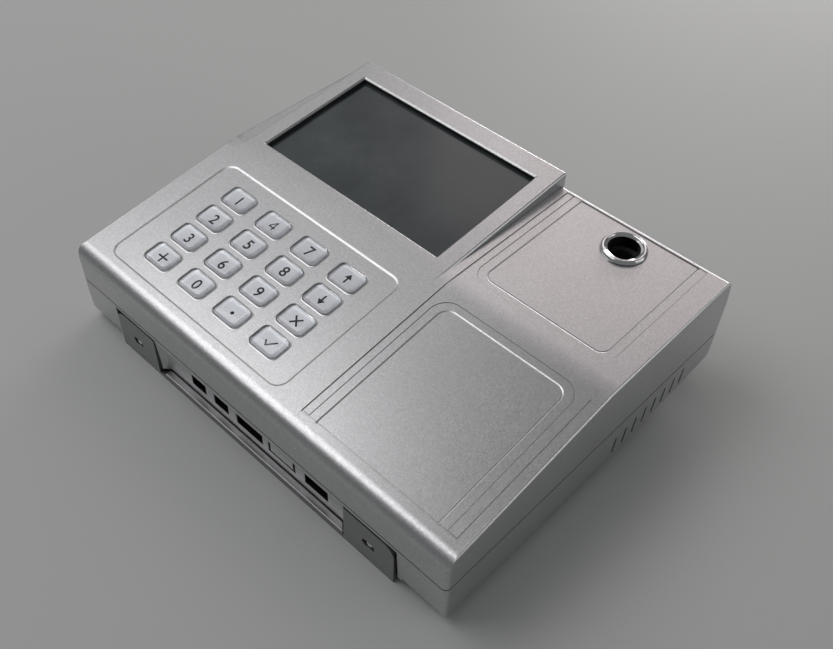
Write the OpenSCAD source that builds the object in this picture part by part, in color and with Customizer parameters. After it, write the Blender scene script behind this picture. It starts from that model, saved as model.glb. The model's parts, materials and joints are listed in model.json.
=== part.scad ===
// Desktop time clock: a two-part housing with a sloping keypad face, a raised display housing,
// a card reading area, a round reader socket, a row of ports under the front edge, and a steel
// bracket plate that it stands on or hangs from.
// Millimetres. Z = 0 is the surface it stands on, +Y is the back, +X is the card reader side.

/* [Housing] */
// Overall width of the housing
body_w = 216; // [214:1:219]
// Front face of the housing; depths are measured before the whole clock is centred
front_y = -84.3; // [-84.5:0.1:-84]
// Rearmost line of the housing
back_y = 87.9; // [87:0.1:89]
// Wall thickness of both covers
wall = 2.4; // [2.2:0.1:2.5]
// Height of the line where the two covers meet
split_z = 24; // [23.5:0.1:24.5]
// Width of the shadow gap along that line
split_gap = 0.6; // [0.4:0.1:0.7]
// Height of the housing's underside above the table
floor_z = 3.6; // [3.4:0.1:3.8]
// Radius of the rolled front edge
roll_r = 7; // [5:0.5:8]
// Radius of the upright corners
corner_r = 2.2; // [1.5:0.1:3]
// Radius of the long side edges of the top
side_edge_r = 1.2; // [0.8:0.1:1.8]

/* [Top faces] */
// Tilt of the keypad face, in degrees
slope_tilt = 8.4; // [8:0.1:8.8]
// Height of the keypad face at its front end
slope_z = 41.4; // [40.5:0.1:42]
// Length of the keypad face up to the crease
slope_len = 84.5; // [84:0.1:85]
// Tilt of the rear deck, in degrees
deck_tilt = 1.07; // [0.9:0.01:1.3]
// Tilt of the display housing, in degrees
hood_tilt = 5.8; // [5.4:0.1:6.2]
// Left edge of the display housing
hood_left = -101.5; // [-102:0.1:-101]
// Right edge of the display housing
hood_right = 22.3; // [22:0.1:23]

/* [Display] */
// Width of the window opening
window_w = 108.2; // [107:0.1:108.4]
// Depth of the window opening along the tilted face
window_d = 65; // [64:0.1:65]
// Middle of the window, from the middle of the housing
window_x = -39.8; // [-40:0.1:-39.5]
// Thickness of the window pane
pane_t = 1.5; // [1.2:0.1:1.8]

/* [Keypad] */
// Key spacing across
key_pitch_x = 22.7; // [22.4:0.1:23]
// Key spacing up the slope
key_pitch_v = 14.03; // [13.9:0.01:14.3]
// Width of a key cap
key_w = 14.8; // [14:0.1:15]
// Depth of a key cap
key_d = 10.4; // [9.8:0.1:10.6]
// Corner radius of a key cap
key_r = 2.6; // [2.2:0.1:3.4]
// Height of a cap above the keypad face
key_rise = 1.8; // [1.2:0.1:2]
// How far a key goes down
key_travel = 1.2; // [0.8:0.1:1.2]

/* [Reader socket] */
// Middle of the socket, from the middle of the housing
socket_x = 65.4; // [64:0.1:67]
// Middle of the socket, back from the crease
socket_w = 65.5; // [64:0.1:66]
// Inner radius of the ring
socket_r = 7; // [6.5:0.1:7.2]
// Outer radius of the ring's rim
socket_rim_r = 9.9; // [9.5:0.1:10.5]
// Depth of the socket below the deck
socket_depth = 16; // [14:0.5:20]

/* [Ports] */
// Half width of the port recess
recess_x = 57; // [56.5:0.1:57]
// Depth of the port recess
recess_d = 3.2; // [3:0.1:3.4]
// Height of the port openings
port_h = 11.4; // [11:0.1:11.6]

/* [Bracket] */
// Thickness of the bracket's sheet
sheet_t = 1.5; // [1.4:0.1:1.6]
// Outer edge of the bracket's ears
ear_x = 83.5; // [82:0.5:84]
// Inner edge of the ears
ear_inner_x = 57.5; // [57.4:0.1:58]
// Height of the ears
ear_h = 20.7; // [20:0.1:21]
// Spacing of the wall holes across
wall_hole_x = 120; // [110:1:130]
// Spacing of the wall holes up the wall
wall_hole_y = 100; // [90:1:105]
// Radius of the wall holes
wall_hole_r = 2.5; // [2:0.1:3]

/* [Hidden] */
$fn = 48;
half_w = body_w / 2;
far = 200;
floor_t = 1.8;
slope_y = -80.2;

// The crease is where the keypad face meets the rear deck.
crease_y = slope_y + slope_len * cos(slope_tilt);
crease_z = slope_z + slope_len * sin(slope_tilt);
crease_blend_r = 78;
hood_blend_r = 200;
hood_back_y = 85.6;
hood_corner_r = 1.8;
hood_base_z = 50;
hood_foot = [6, 44];
deck_back_y = 83.5;
back_edge_r = 2;
back_bend = [85.9, 43.7];
back_bend_r = 40;

// Underside: level at the front, then rising towards the back.
chin_y = -83.3;
belly_y = 27.8;
tail = [85.7, 9.75];

// Window and display stack, measured down from the face of the display housing.
window_v = 7.3 + 31.7;
gasket_t = 0.3;
pane_w = window_w + 2;
pane_d = window_d + 2;
pane_top = -wall - gasket_t;
pane_low = pane_top - pane_t;
panel_w = 104;
panel_d = 61;
panel_top = pane_low - 0.4;
panel_t = 4.1;
tray_t = 1;
tray_gap = 0.2;
tray_low = panel_top - panel_t - tray_t;
display_post_x = 45;
display_post_v = [2.6, 74.8];
display_post_end = -5;
display_board_top = tray_low - 1.4;
board_t = 1.6;

// Keypad, measured from the face of the slope.
keys_x = -74.3;
keys_v = 17.7;
key_gap = 0.3;
key_names = [
  ["key_plus", "key_0", "key_point", "key_enter"],
  ["key_3", "key_6", "key_9", "key_cancel"],
  ["key_2", "key_5", "key_8", "key_down"],
  ["key_1", "key_4", "key_7", "key_up"]
];
flange_w = 17.4;
flange_d = 13;
flange_top = -wall - 0.2;
flange_t = 1;
plunger_r = 2;
plunger_end = -5.2;
key_rest_gap = 0.2;
mat_top = plunger_end - key_travel - key_rest_gap;
mat_t = 0.8;
mat_low = mat_top - mat_t;
collar_top = flange_top - flange_t - key_travel - key_rest_gap;
collar_r = 4;
collar_bore_r = 2.6;
key_post_x = [-87.5, 6.5];
key_post_v = [9.5, 68];
keypad_left = -95.8;
keypad_right = 13.6;
keypad_front = 4.4;
keypad_back = 73.1;
keypad_r = 6;
keypad_dip = 0.4;

// Fine lines pressed into the top.
line_w = 0.8;
line_dip = 0.4;
step_dip = 0.2;
front_line_v = 4.6;
divider_x = 26.3;
edge_line_x = 103;
reader_outer = [30, 98.9, 78.7];
reader_inner = [33.9, 95.2, 75.2];
reader_r = 8.5;
deck_outer = [30, 98, 8.85];
deck_inner = [34, 94.5, 12];
deck_line_w = 77.2;
deck_r = 8;

// Reader board under the card area.
reader_x = 65;
reader_v = 42;
reader_w = 54;
reader_d = 56;
reader_post = [24, 25];
reader_board_top = -5;

// Lower cover.
cover_top = split_z - split_gap;
lip_t = 1.2;
lip_rise = 2.4;
lip_gap = 0.2;
recess_top = 20.7;
panel_y = front_y + recess_d;
panel_back = panel_y + wall;
port_low = 7.5;
vent_count = 8;
vent_y = 16.1;
vent_pitch = 6.7;
vent_z = 10.6;
vent_rise = 3.7;
vent_l = 8.6;
vent_w = 1.3;
vent_lean = 5;
case_post_x = 100.5;
case_post_y = [-72, 74];
case_post_low = 20;
case_seat_z = 13.5;
post_r = 2.5;
pilot_r = 0.9;
board_hole_r = 1.2;
case_post_r = 3.5;
pad_x = 70;
pad_y = [-60, 40];
hook_x = 50;
hook_y = 44;

// Main board and what stands on it.
main_w = 120;
main_low = 6;
main_top = main_low + board_t;
main_front = panel_back + 0.3;
main_back = 25;
main_hole_x = 55;
main_hole_y = [-66, 20];
power_x = [-37.9, -28.6];
signal_x = [-23.3, -14.1];
network_x = [-8.9, 7.2];
knockout_x = [10.7, 26.6];
usb_x = [32.1, 45.2];
jack_front = panel_back + 0.2;
jack_gap = 0.3;
jack_top = port_low + port_h - jack_gap;
header_h = 2.2;

// Bracket.
pocket_d = 1.7;
pocket_x = [ear_inner_x - 0.3, ear_x + 1];
ear_front = front_y - 0.3;
ear_back = ear_front + sheet_t;
ear_hole = [70.5, 10.5];
ear_slot = [6.4, 3.6];
ear_slot_d = 1.2;
rail = [-53.5, 56.4];
rail_d = panel_y - 0.5 - ear_front;
rail_h = 3.3;
rail_edge_r = 0.6;
seam = [0.3, 0.2];
plate_back = 72;

// Points of an arc of radius r that rounds the corner b between a and c.
function round_corner(a, b, c, r, steps = 8) =
  let (
    to_a = (a - b) / norm(a - b),
    to_c = (c - b) / norm(c - b),
    half = acos(to_a * to_c) / 2,
    middle = b + (to_a + to_c) / norm(to_a + to_c) * r / sin(half),
    first = b + to_a * r / tan(half) - middle,
    last = b + to_c * r / tan(half) - middle,
    start = atan2(first[1], first[0]),
    turn = (atan2(last[1], last[0]) - start + 540) % 360 - 180
  )
  [for (i = [0:steps]) middle + r * [cos(start + turn * i / steps), sin(start + turn * i / steps)]];

// The two values at a distance either side of a middle.
function about(middle, reach) = [middle - reach, middle + reach];

function slope_height(y) = slope_z + (y - slope_y) * tan(slope_tilt);
function deck_height(y) = crease_z + (y - crease_y) * tan(deck_tilt);
function hood_height(y) = crease_z + (y - crease_y) * tan(hood_tilt);
function belly_height(y) = floor_z + max(0, y - belly_y) * (tail[1] - floor_z) / (tail[0] - belly_y);

// The crease moved inwards by d, for a surface of the given tilt behind it.
function crease_point(d, tilt) =
  let (mean = (slope_tilt + tilt) / 2, half = (slope_tilt - tilt) / 2)
  [crease_y + d * sin(mean) / cos(half), crease_z - d * cos(mean) / cos(half)];

// Side outline of the upper cover, moved inwards by d, from the height low upwards.
function upper_outline(d, low) =
  let (
    foot = [front_y + d, low],
    brow = [front_y + d, slope_height(front_y + d) - d / cos(slope_tilt)],
    crease = crease_point(d, deck_tilt),
    shoulder = [deck_back_y - d, deck_height(deck_back_y - d) - d / cos(deck_tilt)],
    bend = back_bend - [d, 0],
    heel = [back_y - d, split_z],
    end = [back_y - d, low]
  )
  concat(
    [foot],
    round_corner(foot, brow, crease, roll_r - d, 12),
    round_corner(brow, crease, shoulder, crease_blend_r, 4),
    round_corner(crease, shoulder, bend, back_edge_r),
    round_corner(shoulder, bend, heel, back_bend_r, 4),
    low < split_z ? [heel, end] : [heel]
  );

// Side outline of the display housing, moved inwards by d.
function hood_outline(d) =
  let (
    start_y = crease_y - 15,
    start = [start_y, slope_height(start_y) - d / cos(slope_tilt)],
    crease = crease_point(d, hood_tilt),
    top = [hood_back_y - d, hood_height(hood_back_y - d) - d / cos(hood_tilt)],
    low = [hood_back_y - d, hood_foot[1] - d]
  )
  concat(
    [[start_y, hood_base_z - d], start],
    round_corner(start, crease, top, hood_blend_r, 4),
    round_corner(crease, top, low, back_edge_r),
    [low, [low[0] - hood_foot[0], hood_base_z - d]]
  );

// Side outline of the lower cover: d_wall moves the walls in, d_floor lifts the floor.
function lower_outline(d_wall, d_floor, top) =
  let (
    chin = [chin_y + d_wall, floor_z + d_floor],
    heel = tail + [-d_wall, d_floor]
  )
  concat(
    [[front_y + d_wall, top]],
    round_corner([front_y + d_wall, top], chin, [belly_y, floor_z + d_floor], 1.5, 5),
    [[belly_y, floor_z + d_floor]],
    round_corner([belly_y, floor_z + d_floor], heel, [back_y - d_wall, top], 1.5, 5),
    [[back_y - d_wall, top]]
  );

module along_x(x0, x1) translate([x0, 0, 0]) rotate([90, 0, 90]) linear_extrude(x1 - x0) children();

// Moves a node so that the whole clock is centred on the origin in plan.
module placed() translate([0, -(ear_front + back_y) / 2, 0]) children();

module on_slope() translate([0, slope_y, slope_z]) rotate([slope_tilt, 0, 0]) children();

module on_deck() translate([0, crease_y, crease_z]) rotate([deck_tilt, 0, 0]) children();

module on_hood() translate([0, crease_y, crease_z]) rotate([hood_tilt, 0, 0]) children();

module at_window() on_hood() translate([window_x, window_v, 0]) children();

module at_socket() on_deck() translate([socket_x, socket_w, 0]) children();

module at_corners(xs, ys) for (x = xs, y = ys) translate([x, y, 0]) children();

module box(x, y, z) translate([x[0], y[0], z[0]]) cube([x[1] - x[0], y[1] - y[0], z[1] - z[0]]);

module slab(low, high) translate([0, 0, low]) linear_extrude(high - low) children();

module rod(r, low, high) translate([0, 0, low]) cylinder(r = r, h = high - low);

module rounded(w, d, r) {
  square([w - 2 * r, d], center = true);
  square([w, d - 2 * r], center = true);
  for (x = [-1, 1], y = [-1, 1]) translate([x * (w / 2 - r), y * (d / 2 - r)]) circle(r);
}

module rounded_box(x, y, r) {
  translate([x[0] + x[1], y[0] + y[1]] / 2) rounded(x[1] - x[0], y[1] - y[0], r);
}

// A long bar with its two top edges rounded, running along +Y.
module rounded_bar(x0, x1, r) {
  translate([0, far, 0]) rotate([90, 0, 0]) linear_extrude(2 * far) {
    translate([x0, -far]) square([x1 - x0, far - r]);
    translate([x0 + r, -far]) square([x1 - x0 - 2 * r, far]);
    for (x = [x0 + r, x1 - r]) translate([x, -r]) circle(r);
  }
}

module upper_solid() {
  intersection() {
    along_x(-half_w, half_w) polygon(upper_outline(0, split_z));
    slab(split_z - 1, far) rounded_box([-half_w, half_w], [front_y, back_y], corner_r);
    on_slope() rounded_bar(-half_w, half_w, side_edge_r);
    on_deck() rounded_bar(-half_w, half_w, side_edge_r);
  }
}

module hood_solid() {
  intersection() {
    along_x(hood_left, hood_right) polygon(hood_outline(0));
    slab(0, far) rounded_box([hood_left, hood_right], [-50, hood_back_y], hood_corner_r);
    on_hood() rounded_bar(hood_left, hood_right, side_edge_r);
  }
}

module upper_hollow() {
  along_x(-half_w + wall, half_w - wall) polygon(upper_outline(wall, split_z - 1));
  along_x(hood_left + wall, hood_right - wall) polygon(hood_outline(wall));
}

// Hanging posts for the case screws; they end inside the wall above them.
module case_posts() {
  for (x = [-1, 1]) {
    translate([x * case_post_x, case_post_y[0], 0])
      rod(case_post_r, case_post_low, slope_height(case_post_y[0]) - 2);
    translate([x * case_post_x, case_post_y[1], 0])
      rod(case_post_r, case_post_low, deck_height(case_post_y[1]) - 1);
  }
}

module key_posts() on_slope() at_corners(key_post_x, key_post_v) children();

module reader_spots() {
  at_corners(about(reader_x, reader_post[0]), about(reader_v, reader_post[1])) children();
}

module reader_posts() on_slope() reader_spots() children();

module display_posts() {
  on_hood() at_corners(about(window_x, display_post_x), display_post_v) children();
}

// One fine line of the given outline, sunk below the face.
module sunk_line(dip = line_dip) slab(-dip, 1) children();

// Outline strip between a box and the same box drawn smaller by w.
module outline(x, y, r, w = line_w) {
  difference() {
    rounded_box(x, y, r);
    rounded_box(x + [w, -w], y + [w, -w], r - w);
  }
}

// Card area on the slope: a shallow step, a sunk line inside it, both open to the front line.
module card_area() {
  x = [reader_outer[0], reader_outer[1]];
  xi = [reader_inner[0], reader_inner[1]];
  on_slope() intersection() {
    slab(-1, 1) translate([0, front_line_v]) square([far, far]);
    union() {
      sunk_line(step_dip) rounded_box(x, [-20, reader_outer[2]], reader_r);
      sunk_line(step_dip + line_dip) outline(xi, [-20, reader_inner[2]], reader_r - 3);
    }
  }
}

// Marked area on the rear deck around the socket, open to the back.
module deck_area() {
  x = [deck_outer[0], deck_outer[1]];
  xi = [deck_inner[0], deck_inner[1]];
  on_deck() intersection() {
    slab(-1, 1) square([far, deck_line_w + line_w]);
    union() {
      sunk_line(step_dip) rounded_box(x, [deck_outer[2], far], deck_r);
      sunk_line(step_dip + line_dip) outline(xi, [deck_inner[2], far], deck_r - 3);
      sunk_line(step_dip + line_dip) translate([xi[0], deck_line_w]) square([xi[1] - xi[0], line_w]);
    }
  }
}

module divider_lines() {
  on_slope() sunk_line() {
    translate([divider_x, front_line_v]) square([line_w, slope_len]);
    translate([divider_x, front_line_v]) square([edge_line_x - divider_x, line_w]);
  }
  on_slope() sunk_line(step_dip) {
    translate([edge_line_x, front_line_v]) square([line_w * 0.6, slope_len - 12]);
  }
  on_deck() sunk_line() {
    translate([divider_x, -6]) square([line_w, deck_line_w + 6 + line_w]);
    translate([divider_x, deck_line_w]) square([4, line_w]);
  }
}

module front_cover() color("silver") {
  difference() {
    union() {
      difference() {
        union() {
          upper_solid();
          hood_solid();
        }
        upper_hollow();
      }
      case_posts();
      key_posts() rod(post_r, mat_low, -wall + 0.4);
      reader_posts() rod(post_r, reader_board_top, -wall + 0.4);
      display_posts() rod(2.2, display_post_end, -wall + 0.4);
    }
    on_slope() slab(-keypad_dip, 1)
      rounded_box([keypad_left, keypad_right], [keypad_front, keypad_back], keypad_r);
    on_slope() each_key() slab(-wall - 1, 1) rounded(key_w + 2 * key_gap, key_d + 2 * key_gap, key_r);
    at_window() slab(-wall - 0.5, 2) rounded(window_w, window_d, 1);
    at_socket() rod(socket_r + 1.15, -wall - 1, 1);
    card_area();
    deck_area();
    divider_lines();
    for (x = [-1, 1], y = case_post_y) translate([x * case_post_x, y, 0]) rod(1.5, 0, 32);
    key_posts() rod(pilot_r, -far, -3.4);
    reader_posts() rod(pilot_r, -far, -2.8);
    display_posts() rod(pilot_r, -far, -3);
  }
}

module each_key() {
  for (i = [0:3], j = [0:3]) translate([keys_x + i * key_pitch_x, keys_v + j * key_pitch_v, 0]) children();
}

module port(x) box(x, [-far, panel_back + 1], [port_low, port_low + port_h]);

// Knock-out port: a slot round three sides leaves a tab hanging from its top edge.
module knockout_slot() {
  slot = 1.3;
  difference() {
    port(knockout_x);
    box(knockout_x + [slot, -slot], [-far, far], [port_low + slot, far]);
  }
}

module side_vents() {
  for (side = [-1, 1], i = [0:vent_count - 1]) {
    rise = vent_rise * i / (vent_count - 1);
    translate([side * half_w, vent_y + i * vent_pitch, vent_z + rise])
      rotate([-vent_lean, 0, 0])
        cube([4 * wall, vent_w, vent_l], center = true);
  }
}

module inner_lip() {
  inset = wall + lip_gap;
  root_low = cover_top - 3;
  outer_x = half_w - inset;
  y0 = front_y + inset;
  y1 = back_y - inset - 0.3;
  difference() {
    union() {
      box([-outer_x, outer_x], [y0, y1], [root_low, split_z + lip_rise]);
      box([-outer_x - 1, outer_x + 1], [y0 - 1, y1 + 1], [root_low, cover_top - 0.1]);
    }
    box([-outer_x + lip_t, outer_x - lip_t], [y0 + lip_t, y1 - lip_t], [0, far]);
  }
}

module rear_cover() color("silver") {
  difference() {
    union() {
      pierced_tub();
      ear_bosses();
    }
    at_ears() rod(1.2, -1, 6);
  }
}

// Lower cover without the bosses that stand in its ear pockets.
module pierced_tub() {
  difference() {
    union() {
      difference() {
        intersection() {
          along_x(-half_w, half_w) polygon(lower_outline(0, 0, cover_top));
          slab(0, cover_top) rounded_box([-half_w, half_w], [front_y, back_y], corner_r);
        }
        along_x(-half_w + wall, half_w - wall) polygon(lower_outline(wall, floor_t, cover_top + 1));
      }
      inner_lip();
      thick_wall([-recess_x - wall, recess_x + wall], panel_back);
      for (x = [-1, 1]) {
        thick_wall(about(x * 71, 16), -80.2);
        for (y = case_post_y) translate([x * case_post_x, y, 0]) rod(4, belly_height(y) + 1, case_post_low);
        for (y = pad_y) translate([x * pad_x, y, 0]) rod(5, sheet_t, belly_height(y) + 1);
        for (y = main_hole_y) translate([x * main_hole_x, y, 0]) rod(3, floor_z + 0.5, main_low);
      }
    }
    port_recess();
    ear_pockets();
    port(power_x);
    port(signal_x);
    port(network_x);
    port(usb_x);
    knockout_slot();
    side_vents();
    for (x = [-1, 1]) {
      for (y = case_post_y) translate([x * case_post_x, y, 0]) {
        rod(3.2, -1, case_seat_z);
        rod(1.7, -1, far);
      }
      for (y = main_hole_y) translate([x * main_hole_x, y, 0]) rod(1.1, floor_z + 0.6, far);
      box([x * hook_x - 5.5, x * hook_x + 5.5], [hook_y - 5.5, hook_y + 2.5], [-1, 12]);
    }
  }
}

// Extra wall behind the recesses in the front face.
module thick_wall(x, back) box(x, [front_y + 0.8, back], [floor_z + 0.3, recess_top + 1.6]);

module port_recess() {
  slab(-1, recess_top) polygon([
    [-recess_x - 2, front_y - 2], [recess_x + 2, front_y - 2],
    [recess_x - recess_d, panel_y], [-recess_x + recess_d, panel_y]
  ]);
}

module ear_pockets() {
  for (x = [-1, 1]) mirror([x < 0 ? 1 : 0, 0, 0])
    box(pocket_x, [front_y - 1, front_y + pocket_d], [-1, ear_h + 1]);
}

// Puts a shape at the back of each bracket ear, pointing into the housing.
module at_ears() {
  for (x = [-1, 1]) translate([x * ear_hole[0], ear_back, ear_hole[1]]) rotate([-90, 0, 0]) children();
}

// Bosses that back the bracket's ears and take their screws.
module ear_bosses() at_ears() rod(4.5, 0, 7);

module key_at(i, j) color([0.85, 0.88, 0.9, 0.8]) {
  on_slope() translate([keys_x + i * key_pitch_x, keys_v + j * key_pitch_v, 0]) {
    slab(flange_top - 0.2, key_rise - keypad_dip) rounded(key_w, key_d, key_r);
    slab(flange_top - flange_t, flange_top) rounded(flange_w, flange_d, key_r + 1);
    rod(plunger_r, plunger_end, flange_top - 0.5);
  }
}

module key_mat() color("dimgray") on_slope() {
  difference() {
    union() {
      slab(mat_low, mat_top) rounded_box([keys_x - 10.2, keys_x + 78.2], [keys_v - 7, keys_v + 49.2], 2);
      each_key() rod(collar_r, mat_low + 0.2, collar_top);
    }
    each_key() rod(collar_bore_r, mat_top, 0);
  }
}

module screw(head_r, head_h, shank_r, length) {
  rod(head_r, -head_h, 0);
  rod(shank_r, -0.1, length);
}

module key_board() color("darkgreen") on_slope() {
  difference() {
    slab(mat_low - board_t, mat_low) rounded_box([-91, 10], [6, 71.5], 2);
    at_corners(key_post_x, key_post_v) rod(board_hole_r, -far, 0);
  }
}

module key_board_screws() color("gainsboro") {
  key_posts() translate([0, 0, mat_low - board_t]) screw(2, 1.3, 0.85, 5);
}

module display_window() color([0.1, 0.11, 0.12, 0.8]) {
  at_window() slab(pane_low, pane_top) rounded(pane_w, pane_d, 1.5);
}

module window_gasket() color("black") at_window() {
  slab(pane_top, -wall) difference() {
    rounded(pane_w, pane_d, 1.5);
    rounded(window_w + 0.2, window_d + 0.2, 1);
  }
}

module display_panel() color([0.05, 0.06, 0.07]) {
  at_window() slab(panel_top - panel_t, panel_top) rounded(panel_w, panel_d, 1);
}

module display_frame() color("lightgray") {
  outer_w = panel_w + 2 * (tray_t + tray_gap);
  outer_d = panel_d + 2 * (tray_t + tray_gap);
  difference() {
    union() {
      at_window() slab(tray_low, panel_top - 0.2) rounded(outer_w, outer_d, 1.5);
      display_straps();
      at_window() at_corners([-40, 40], [-22, 22]) rod(2.5, display_board_top, tray_low + 0.2);
    }
    at_window() slab(tray_low + tray_t, 0) {
      rounded(panel_w + 2 * tray_gap, panel_d + 2 * tray_gap, 1);
    }
    display_posts() rod(board_hole_r, -far, 0);
  }
}

// Straps under the tray's rim that reach the posts; the panel's space is cut out of them.
module display_straps() {
  reach = [display_post_v[0] - 2.2, display_post_v[1] + 2.2];
  on_hood() slab(display_post_end - tray_t, display_post_end)
    for (x = about(window_x, display_post_x)) rounded_box(about(x, 4), reach, 2);
}

module display_board() color("darkgreen") {
  at_window() slab(display_board_top - board_t, display_board_top) rounded(92, 52, 2);
}

module display_screws() color("gainsboro") {
  display_posts() translate([0, 0, display_post_end - tray_t]) screw(1.9, 1.2, 0.8, 2.6);
}

// Chrome ring: a stepped, rounded rim on the deck and a threaded sleeve below it.
module socket_ring() color("whitesmoke") at_socket() {
  rim = [
    [socket_r, -8], [socket_r + 1, -8], [socket_r + 1, 0], [socket_rim_r, 0], [socket_rim_r, 0.5]
  ];
  crest = [for (a = [20:14:160]) [8.75, 0.7] + 0.95 * [cos(a), sin(a)]];
  rotate_extrude() polygon(concat(rim, crest, [[socket_r, 0.7]]));
}

module socket_nut() color("lightgray") at_socket() {
  difference() {
    slab(-wall - 2.6, -wall) circle(r = 11, $fn = 6);
    rod(socket_r + 1.05, -far, 0);
  }
}

module socket_cup() color([0.05, 0.05, 0.05]) at_socket() {
  difference() {
    union() {
      rod(socket_r + 1, -socket_depth - 1.5, -8.05);
      rod(socket_r - 0.1, -8.1, -6);
    }
    rod(socket_r - 1.1, -socket_depth, 0);
  }
}

module reader_board() color("darkgreen") on_slope() {
  difference() {
    slab(reader_board_top - board_t, reader_board_top)
      translate([reader_x, reader_v]) rounded(reader_w, reader_d, 2);
    reader_spots() rod(board_hole_r, -far, 0);
  }
}

module reader_board_screws() color("gainsboro") {
  reader_posts() translate([0, 0, reader_board_top - board_t]) screw(2, 1.3, 0.85, 3.4);
}

module main_board() color("darkgreen") {
  difference() {
    slab(main_low, main_top) rounded_box([-main_w / 2, main_w / 2], [main_front, main_back], 1);
    at_corners([-main_hole_x, main_hole_x], main_hole_y) rod(1.4, 0, far);
  }
}

module main_board_screws() color("gainsboro") {
  at_corners([-main_hole_x, main_hole_x], main_hole_y)
    translate([0, 0, main_top]) mirror([0, 0, 1]) screw(2.4, 1.4, 1.05, 3.2);
}

module processor() color("black") {
  slab(main_top, main_top + 1.4) translate([15, -25]) square(20, center = true);
}

// Body of a board jack that fills its opening in the port panel.
module jack_block(x, depth) {
  box(x + [jack_gap, -jack_gap], [jack_front, jack_front + depth], [main_top, jack_top]);
}

module network_jack() color("dimgray") {
  mid = (network_x[0] + network_x[1]) / 2;
  difference() {
    jack_block(network_x, 19);
    box(about(mid, 5.9), [-far, jack_front + 12], [8.8, 16]);
    box(about(mid, 3), [-far, jack_front + 8], [8.8, 17.6]);
  }
}

module usb_socket() color("dimgray") {
  mid = (usb_x[0] + usb_x[1]) / 2;
  difference() {
    jack_block(usb_x, 16);
    box(about(mid, 4.3), [-far, jack_front + 9], [9.2, 17.1]);
  }
  box(about(mid, 2.8), [jack_front + 1.2, jack_front + 9.5], [11.5, 14.8]);
}

module power_jack() color("dimgray") {
  mid = (power_x[0] + power_x[1]) / 2;
  difference() {
    jack_block(power_x, 14);
    translate([mid, jack_front, 13.4]) rotate([-90, 0, 0]) rod(3.2, -1, 9.5);
  }
  translate([mid, jack_front, 13.4]) rotate([-90, 0, 0]) rod(1, 1, 10);
}

module signal_jack() color("dimgray") {
  mid = (signal_x[0] + signal_x[1]) / 2;
  difference() {
    jack_block(signal_x, 14);
    translate([mid, jack_front, 13.4]) rotate([-90, 0, 0]) rod(1.8, -1, 12);
  }
}

module buzzer() color("black") translate([45, 5, 0]) {
  difference() {
    rod(6, main_top, main_top + 9);
    rod(1, main_top + 6, far);
  }
}

module battery_holder() color("black") translate([-38, -8, 0]) {
  difference() {
    rod(11.6, main_top, main_top + 5);
    rod(10.2, main_top + 1, far);
  }
}

module clock_battery() color("silver") translate([-38, -8, 0]) rod(10, main_top + 1, main_top + 4.2);

module backup_battery() color("steelblue") {
  slab(floor_z + floor_t, floor_z + floor_t + 10) rounded_box([66, 96], [-44, 10], 3);
}

// Flat ribbon hanging in a gentle bow between two heights.
module ribbon(x, y, low, high, bow) {
  steps = 12;
  side = [for (i = [0:steps]) [y + bow * sin(180 * i / steps), low + (high - low) * i / steps]];
  back = [for (i = [steps:-1:0]) side[i] + [0.4, 0]];
  along_x(x[0], x[1]) polygon(concat(side, back));
}

module display_ribbon() color("ivory") ribbon([-50, -30], 20, main_top + header_h, 42.2, -4);

module keypad_ribbon() color("ivory") ribbon([-24, -8], -20, main_top + header_h, 40.8, 5);

module reader_ribbon() color("ivory") ribbon([44, 50], -16, main_top + header_h, 43.7, 5);

module board_headers() color("ivory") {
  box([-52, -28], [18, 23], [main_top, main_top + header_h]);
  box([-26, -6], [-22, -17.5], [main_top, main_top + header_h]);
  box([43, 51], [-18, -13.5], [main_top, main_top + header_h]);
}

module case_screws() color("gainsboro") {
  at_corners([-case_post_x, case_post_x], case_post_y)
    translate([0, 0, case_seat_z]) screw(3, 2.2, 1.45, 15);
}

// Steel plate under the housing: two upturned ears, a folded front rail and two rear hooks.
module wall_bracket() color("silver") {
  difference() {
    union() {
      box([-ear_x, ear_x], [ear_front, plate_back], [0, sheet_t]);
      for (x = [-1, 1]) mirror([x < 0 ? 1 : 0, 0, 0]) {
        bracket_ear();
        box([hook_x - 5, hook_x + 5], [hook_y, hook_y + sheet_t], [0, 10]);
        box([hook_x - 5, hook_x + 5], [hook_y - 4.5, hook_y + 0.1], [10 - sheet_t, 10]);
      }
      front_rail();
    }
    at_corners(about(0, wall_hole_x / 2), about(0, wall_hole_y / 2)) rod(wall_hole_r, -1, 4);
  }
}

module bracket_ear() {
  r = 4.5;
  slot_end_r = ear_slot[1] / 2 - 0.01;
  ear_w = ear_x - ear_inner_x;
  translate([0, ear_back, 0]) rotate([90, 0, 0]) difference() {
    linear_extrude(sheet_t) difference() {
      union() {
        translate([ear_inner_x, 0]) square([ear_w - r, ear_h]);
        translate([ear_inner_x, 0]) square([ear_w, ear_h - r]);
        translate([ear_x - r, ear_h - r]) circle(r);
      }
      translate(ear_hole) circle(1.5);
    }
    slab(sheet_t - ear_slot_d, far) translate(ear_hole) rounded(ear_slot[0], ear_slot[1], slot_end_r);
  }
}

// Folded rail that fills the foot of the port recess; a fine seam shows where the sheet meets.
module front_rail() {
  intersection() {
    slab(0, rail_h) polygon([
      [rail[0], ear_front], [rail[1], ear_front],
      [rail[1] - rail_d, ear_front + rail_d], [rail[0], ear_front + rail_d]
    ]);
    along_x(-half_w, half_w) difference() {
      translate([ear_front, 0]) union() {
        square([rail_d, rail_h - rail_edge_r]);
        translate([rail_edge_r, 0]) square([rail_d - rail_edge_r, rail_h]);
        translate([rail_edge_r, rail_h - rail_edge_r]) circle(rail_edge_r);
      }
      translate([ear_front - 1, sheet_t]) square([1 + seam[0], seam[1]]);
    }
  }
}

module bracket_screws() color("white") {
  at_ears() translate([0, 0, ear_slot_d - sheet_t]) screw(1.55, 0.8, 1.15, 5.5);
}

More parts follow.
